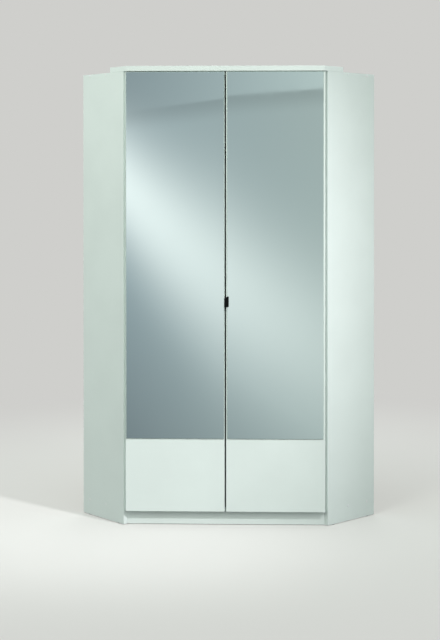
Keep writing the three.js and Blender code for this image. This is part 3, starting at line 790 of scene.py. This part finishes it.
class WARDROBE_OT_pull(bpy.types.Operator):
    """Makes the black pull on the right door, with two upright ridges on its lip, and its two screws"""

    bl_idname = "wardrobe.pull"
    bl_label = "Pull"

    def execute(self, context):
        low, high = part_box("handle")
        leg_back, lip_front = high.y, low.y
        lip_back = lip_front + LIP_THICKNESS
        leg_front = leg_back - WEB_THICKNESS
        lip_outer, leg_end = low.x, high.x
        lip_inner = lip_outer + LIP_WIDTH
        web_outer = lip_outer + LIP_OVERHANG
        web_inner = web_outer + WEB_THICKNESS
        groove = (lip_outer + lip_inner) / 2
        outline = [
            (leg_end, leg_front), (leg_end, leg_back), (web_outer, leg_back), (web_outer, lip_back),
            (lip_outer, lip_back), (lip_outer, lip_front + LIP_CHAMFER), (lip_outer + LIP_CHAMFER, lip_front),
            (groove - GROOVE_HALF, lip_front), (groove - GROOVE_HALF + GROOVE_DEPTH, lip_front + GROOVE_DEPTH),
            (groove + GROOVE_HALF - GROOVE_DEPTH, lip_front + GROOVE_DEPTH), (groove + GROOVE_HALF, lip_front),
            (lip_inner - LIP_CHAMFER, lip_front), (lip_inner, lip_front + LIP_CHAMFER), (lip_inner, lip_back),
            (web_inner, lip_back), (web_inner, leg_front),
        ]
        pull = object_from(column(outline, low.z, high.z), "moulded_pull", "black")
        nodes = ("handle_screw_lower", "handle_screw_upper")
        lower, upper = (middle(node) for node in nodes)
        run = [(Vector((lower.x, leg_back, lower.z)), UP * (upper.z - lower.z), len(nodes), BACK)]
        minus(pull, rows("bores", drill("bore", *PULL_BORE, 16, "black"), "black", run, spin=0.0))
        settle(rounded(pull, PULL_ROUNDING, angle=30), "right_door", "black_plastic", "handle")
        tip, top = (corner.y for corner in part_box(nodes[0]))
        head_radius, stem_radius = PULL_SCREW
        screw = cross_headed("screw", head_radius, top - leg_back, stem=leg_back - tip, stem_radius=stem_radius)
        settle(rows("pull_screws", screw, "zinc", run), "right_door", "zinc_plate", *nodes)
        return {"FINISHED"}


class WARDROBE_OT_hinges(bpy.types.Operator):
    """Finishes the cup hinges and adds their screws"""

    bl_idname = "wardrobe.hinges"
    bl_label = "Hinges"

    def execute(self, context):
        levels = [middle(f"hinge_arm_left_{i + 1}").z for i in range(HINGE_COUNT)]
        step = UP * (levels[1] - levels[0])
        on_wings = []
        for word, side in SIDES.items():
            for part, finish in (("hinge_arm", "nickel"), ("hinge_cup", "nickel"), ("hinge_plate", "zinc")):
                refinish(finish, *(f"{part}_{word}_{i + 1}" for i in range(HINGE_COUNT)))
            cup = PIVOT[side] + Vector((-side * CUP_SCREW_INWARD, CUP_SCREW_BACK, 0))
            runs = [(cup + UP * (levels[0] + rise), step, HINGE_COUNT, BACK) for rise in CUP_SCREW_RISES]
            heads = rows(f"cup_screws_{word}", cross_headed("head", HEAD_RADIUS, HEAD_HEIGHT), "zinc", runs)
            settle(heads, f"{word}_door", "zinc_plate")
            for along, off, rise in PLATE_SCREWS:
                start = plan(side, WING_INNER - off * MM, WING_DEPTH - along * MM, levels[0] + rise * MM)
                on_wings.append((start, step, HINGE_COUNT, -outward(side)))
        heads = rows("plate_screws", cross_headed("head", HEAD_RADIUS, HEAD_HEIGHT), "zinc", on_wings)
        settle(heads, "carcase", "zinc_plate")
        return {"FINISHED"}


class WARDROBE_OT_rail(bpy.types.Operator):
    """Finishes the clothes rail with its caps and hangers, and adds the hangers' screws"""

    bl_idname = "wardrobe.rail"
    bl_label = "Clothes rail"

    def execute(self, context):
        refinish("chrome", "clothes_rail")
        refinish("grey", "rail_end_cap_left", "rail_end_cap_right")
        refinish("nickel", "rail_hanger_left", "rail_hanger_right")
        step = BACK * HANGER_SCREW_SPACING
        runs = []
        for word in SIDES:
            node = f"rail_hanger_{word}"
            start = middle(node) - step / 2
            start.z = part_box(node)[1].z - HANGER_FLANGE
            runs.append((start, step, 2, -UP))
        heads = rows("hanger_screws", cross_headed("head", HEAD_RADIUS, HEAD_HEIGHT), "zinc", runs)
        settle(heads, "carcase", "zinc_plate")
        return {"FINISHED"}


class WARDROBE_OT_small_plastics(bpy.types.Operator):
    """Finishes the shelf pins, glides and door bumpers"""

    bl_idname = "wardrobe.small_plastics"
    bl_label = "Pins, glides and bumpers"

    def execute(self, context):
        ends = [f"{word}_{end}" for word in SIDES for end in ("back", "front")] + ["corner"]
        refinish("grey", *(f"{part}_{end}" for part in ("shelf_pin", "glide") for end in ends))
        refinish("bumper", "door_bumper_left", "door_bumper_right")
        return {"FINISHED"}


class WARDROBE_OT_screw_covers(bpy.types.Operator):
    """Adds the covers of the screws that hold the top and bottom boards, on the wings' outer faces"""

    bl_idname = "wardrobe.screw_covers"
    bl_label = "Screw covers"

    def execute(self, context):
        looks = context.scene.wardrobe_fittings
        cover = plain_headed("cover", looks.cover_diameter / 2, looks.cover_height, COVER_SECTION, 24, "cover")
        low, high = (middle(node).z for node in ("bottom_board", "top_board"))
        runs = [
            (plan(side, WALL_LEG, off, low), UP * (high - low), 2, outward(side))
            for side in SIDES.values()
            for off in COVER_OFFS
        ]
        settle(rows("screw_covers", cover, "cover", runs), "carcase", "white_melamine")
        return {"FINISHED"}


class WARDROBE_OT_back_nails(bpy.types.Operator):
    """Adds the nails that hold the back panels to the boards and the corner post"""

    bl_idname = "wardrobe.back_nails"
    bl_label = "Back nails"

    def execute(self, context):
        looks = context.scene.wardrobe_fittings
        nail = plain_headed("nail", looks.nail_diameter / 2, NAIL_HEIGHT, NAIL_SECTION, 10, "zinc")
        pitch, post_pitch = looks.nail_pitch, POST_NAIL_PITCH * looks.nail_pitch
        count = int((WING_INNER - sum(NAIL_MARGINS)) / pitch) + 1
        post_count = int(POST_NAIL_SPAN / post_pitch) + 1
        post_out, post_low = POST_NAIL
        runs = []
        for side in SIDES.values():
            facing = -off_wall(side)
            for node in ("bottom_board", "hat_shelf", "top_board"):
                start = plan(side, NAIL_MARGINS[0], BACK_SETBACK, middle(node).z)
                runs.append((start, outward(side) * pitch, count, facing))
            runs.append((plan(side, post_out, BACK_SETBACK, post_low), UP * post_pitch, post_count, facing))
        settle(rows("back_nails", nail, "zinc", runs), "carcase", "zinc_plate")
        return {"FINISHED"}


# The studio


def floor_material(studio):
    # A matt painted floor that fades into the backdrop's colour far out, so that no horizon shows. Only the camera sees
    # it pale: the light that it throws back on the object is that of a dark grey floor.
    made, tree, shader, place = shaded("matt_studio_floor", Specular_IOR_Level=0.0, Roughness=0.9)
    camera = add(tree, "ShaderNodeLightPath").outputs["Is Camera Ray"]
    cloud = add(tree, "ShaderNodeTexNoise", {"Vector": place, "Scale": 1.5, "Detail": 4.0}).outputs["Fac"]
    tone = add(tree, "ShaderNodeMapRange", {"Value": cloud, **SPECK}).outputs[0]
    shown = {0: camera, 6: (0.07, 0.07, 0.07, 1), 7: (*studio.floor, 1)}
    pale = add(tree, "ShaderNodeMix", shown, data_type="RGBA").outputs[2]
    colour = add(tree, "ShaderNodeVectorMath", {0: pale, "Scale": tone}, operation="SCALE").outputs[0]
    feed(tree, shader, {"Base Color": colour})
    reach = add(tree, "ShaderNodeVectorMath", {0: place}, operation="LENGTH").outputs["Value"]
    far = {"Value": reach, "From Min": 0.8, "From Max": 3.2, "To Min": 0.45}
    fade = add(tree, "ShaderNodeMapRange", far, interpolation_type="SMOOTHSTEP").outputs[0]
    share = add(tree, "ShaderNodeMath", {0: fade, 1: camera}, operation="MULTIPLY").outputs[0]
    glow = add(tree, "ShaderNodeEmission", {"Color": (*studio.backdrop, 1)}).outputs[0]
    mix = add(tree, "ShaderNodeMixShader", {0: share, 1: shader.outputs[0], 2: glow}).outputs[0]
    feed(tree, tree.nodes["Material Output"], {"Surface": mix})
    return made


def lobe(tree, value, centre, width):
    """A soft bump of a value round a centre: exp(-(distance / width) squared)."""
    offset = add(tree, "ShaderNodeMath", {0: value, 1: centre}, operation="SUBTRACT").outputs[0]
    ratio = add(tree, "ShaderNodeMath", {0: offset, 1: width}, operation="DIVIDE").outputs[0]
    square = add(tree, "ShaderNodeMath", {0: ratio, 1: ratio}, operation="MULTIPLY").outputs[0]
    power = add(tree, "ShaderNodeMath", {0: square, 1: -1.0}, operation="MULTIPLY").outputs[0]
    return add(tree, "ShaderNodeMath", {0: power}, operation="EXPONENT").outputs[0]


def mirrored_room(tree, way, x):
    """What the mirrors show along a way: a grey wall with soft gleams, and the ceiling over it."""
    level = add(tree, "ShaderNodeVectorMath", {0: way, 1: GLEAM_SLOPE}, operation="DOT_PRODUCT").outputs["Value"]
    aside = add(tree, "ShaderNodeMath", {0: x, 1: GLEAM_ASIDE}, operation="ADD").outputs[0]
    near = add(tree, "ShaderNodeClamp", {"Value": aside, "Min": -0.16, "Max": 0.06}).outputs[0]
    bend = add(tree, "ShaderNodeMath", {0: near, 1: near}, operation="MULTIPLY").outputs[0]
    across = add(tree, "ShaderNodeMath", {0: bend, 1: -GLEAM_BEND, 2: level}, operation="MULTIPLY_ADD").outputs[0]
    widths = {"Value": aside, **LEFT_MIRROR, "To Min": 0.0425, "To Max": 0.061}
    powers = {"Value": aside, **BOTH_MIRRORS, "To Min": 0.535, "To Max": 0.19}
    main = lobe(tree, across, GLEAM_LEVEL, add(tree, "ShaderNodeMapRange", widths).outputs[0])
    power = add(tree, "ShaderNodeMapRange", powers).outputs[0]
    gleam = add(tree, "ShaderNodeMath", {0: main, 1: power}, operation="MULTIPLY").outputs[0]
    for centre in OTHER_GLEAMS:
        other = {0: lobe(tree, across, centre, OTHER_WIDTH), 1: OTHER_POWER, 2: gleam}
        gleam = add(tree, "ShaderNodeMath", other, operation="MULTIPLY_ADD").outputs[0]

    # The ceiling's edge turns a little in the right mirror. The wall darkens towards it, and towards the floor.
    edge = add(tree, "ShaderNodeVectorMath", {0: way, 1: CEILING_NORMAL}, operation="DOT_PRODUCT").outputs["Value"]
    in_right = add(tree, "ShaderNodeMath", {0: x, 1: RIGHT_MIRROR["From Min"]}, operation="GREATER_THAN").outputs[0]
    turn = {"Value": x, **RIGHT_MIRROR, "To Min": -0.0017, "To Max": 0.0027}
    tilt = add(tree, "ShaderNodeMapRange", turn).outputs[0]
    height = add(tree, "ShaderNodeMath", {0: in_right, 1: tilt, 2: edge}, operation="MULTIPLY_ADD").outputs[0]
    over = add(tree, "ShaderNodeMapRange", {"Value": height, "From Min": -0.001, "From Max": 0.0002}).outputs[0]
    cove = {"Value": height, "From Min": -0.0174, "From Max": -0.0004, "To Min": 1.0, "To Max": 0.8}
    below = add(tree, "ShaderNodeMapRange", cove, interpolation_type="SMOOTHSTEP").outputs[0]
    above = add(tree, "ShaderNodeMapRange", {"Value": aside, **BOTH_MIRRORS, "To Min": 0.82, "To Max": 1.27}).outputs[0]
    shade = add(tree, "ShaderNodeMix", {0: over, 2: below, 3: above}, data_type="FLOAT").outputs[0]
    foot = {"Value": across, "From Min": -0.19, "From Max": -0.07, "To Min": 0.62, "To Max": 1.0}
    low = add(tree, "ShaderNodeMapRange", foot).outputs[0]
    dim = add(tree, "ShaderNodeMath", {0: low, 1: shade}, operation="MULTIPLY").outputs[0]

    to_right = add(tree, "ShaderNodeMapRange", {"Value": aside, **BOTH_MIRRORS}).outputs[0]
    greys = {0: to_right, 6: (0.29, 0.368, 0.395, 1), 7: (0.353, 0.432, 0.425, 1)}
    wall = add(tree, "ShaderNodeMix", greys, data_type="RGBA").outputs[2]
    room = add(tree, "ShaderNodeVectorMath", {0: wall, "Scale": dim}, operation="SCALE").outputs[0]
    lit = add(tree, "ShaderNodeVectorMath", {0: (1.0, 1.03, 0.97), "Scale": gleam}, operation="SCALE").outputs[0]
    return add(tree, "ShaderNodeVectorMath", {0: room, 1: lit}, operation="ADD").outputs[0]


def studio_world(studio):
    """What stands round the wardrobe: a plain backdrop for the eye, even light, and a grey room for the mirrors."""
    world = bpy.data.worlds.new("studio")
    bpy.context.scene.world = world
    world.use_nodes = True
    tree = world.node_tree
    tree.nodes.clear()
    way = add(tree, "ShaderNodeTexCoord").outputs["Generated"]
    parts = add(tree, "ShaderNodeSeparateXYZ", {0: way}).outputs
    path = add(tree, "ShaderNodeLightPath").outputs
    rise = {"Value": parts["Z"], "To Min": studio.horizon, "To Max": studio.zenith}
    strength = add(tree, "ShaderNodeMapRange", rise).outputs[0]
    room = mirrored_room(tree, way, parts["X"])
    even = add(tree, "ShaderNodeBackground", {"Color": (0.93, 1.0, 0.965, 1), "Strength": strength}).outputs[0]
    shown = add(tree, "ShaderNodeBackground", {"Color": (*studio.backdrop, 1)}).outputs[0]
    glossy = add(tree, "ShaderNodeBackground", {"Color": room, "Strength": 1 / MIRROR_SHARE}).outputs[0]
    first = add(tree, "ShaderNodeMixShader", {0: path["Is Glossy Ray"], 1: even, 2: glossy}).outputs[0]
    direct = {0: path["Is Camera Ray"], 1: path["Is Transmission Ray"]}
    seen = add(tree, "ShaderNodeMath", direct, operation="MAXIMUM").outputs[0]
    second = add(tree, "ShaderNodeMixShader", {0: seen, 1: first, 2: shown}).outputs[0]
    add(tree, "ShaderNodeOutputWorld", {"Surface": second})


def lamp(name, kind, power, place, aim, colour=(1.0, 1.0, 1.0), **settings):
    """A lamp at a place, turned to its aim."""
    light = bpy.data.lights.new(name, kind)
    light.energy = power
    light.color = colour
    for key, value in settings.items():
        setattr(light, key, value)
    made = bpy.data.objects.new(name, light)
    made.location = place
    made.rotation_euler = (Vector(aim) - Vector(place)).to_track_quat("-Z", "Y").to_euler()
    bpy.context.scene.collection.objects.link(made)


class WARDROBE_OT_stage(bpy.types.Operator):
    """Sets up the floor, the lamps, the world and the camera"""

    bl_idname = "wardrobe.stage"
    bl_label = "Studio"

    def execute(self, context):
        studio = context.scene.wardrobe_studio
        disc = bmesh.new()
        bmesh.ops.create_circle(disc, cap_ends=True, segments=64, radius=14.0)
        floor = object_from(disc, "floor")
        floor.data.materials.append(floor_material(studio))
        floor.visible_glossy = False

        studio_world(studio)
        lamp(
            "key", "SPOT", studio.key_power, place=(5.175, -4.762, 6.897), aim=(-0.58, -0.42, 0.3),
            colour=(0.985, 0.965, 1.0), shadow_soft_size=0.28, spot_size=math.radians(15.68), spot_blend=0.924,
        )
        lamp(
            "side_box", "AREA", studio.side_power, place=(-1.8, -3.577, 4.017), aim=(-0.559, -0.3, 2.341),
            colour=(0.95, 1.0, 0.91), shape="RECTANGLE", size=1.6, size_y=2.0,
        )
        lamp(
            "rear_box", "AREA", studio.rear_power, place=(0.0, 4.0, 2.4), aim=(0.0, 0.3, 1.0),
            shape="RECTANGLE", size=3.0, size_y=2.0,
        )

        camera = bpy.data.cameras.new("camera")
        camera.lens = studio.focal_length
        camera.sensor_width = 36
        camera.shift_x = -0.08
        camera.shift_y = -0.2
        made = bpy.data.objects.new("camera", camera)
        made.location = studio.eye
        made.rotation_euler = (math.pi / 2 + studio.pitch, 0, studio.yaw)
        context.scene.collection.objects.link(made)
        context.scene.camera = made
        context.scene.view_settings.view_transform = "Standard"
        return {"FINISHED"}


STEPS = (
    WARDROBE_OT_boards,
    WARDROBE_OT_back_panels,
    WARDROBE_OT_doors,
    WARDROBE_OT_mirrors,
    WARDROBE_OT_pull,
    WARDROBE_OT_hinges,
    WARDROBE_OT_rail,
    WARDROBE_OT_small_plastics,
    WARDROBE_OT_screw_covers,
    WARDROBE_OT_back_nails,
    WARDROBE_OT_stage,
)


class WARDROBE_PT_steps(bpy.types.Panel):
    """Lists the steps that dress the wardrobe, with the sizes and colours they use"""

    bl_idname = "WARDROBE_PT_steps"
    bl_label = "Corner wardrobe"
    bl_space_type = "VIEW_3D"
    bl_region_type = "UI"
    bl_category = "Wardrobe"

    def draw(self, context):
        for step in STEPS:
            self.layout.operator(step.bl_idname)
        for name in GROUPS:
            settings = getattr(context.scene, name)
            box = self.layout.box()
            for key in settings.__annotations__:
                box.prop(settings, key)


CLASSES = (*GROUPS.values(), *STEPS, WARDROBE_PT_steps)


def register():
    for cls in CLASSES:
        bpy.utils.register_class(cls)
    for name, group in GROUPS.items():
        setattr(bpy.types.Scene, name, PointerProperty(type=group))


def unregister():
    for name in GROUPS:
        delattr(bpy.types.Scene, name)
    for cls in reversed(CLASSES):
        bpy.utils.unregister_class(cls)


def main():
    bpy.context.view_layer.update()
    register()
    for step in STEPS:
        area, name = step.bl_idname.split(".")
        getattr(getattr(bpy.ops, area), name)()
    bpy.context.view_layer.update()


if __name__ == "__main__":
    main()
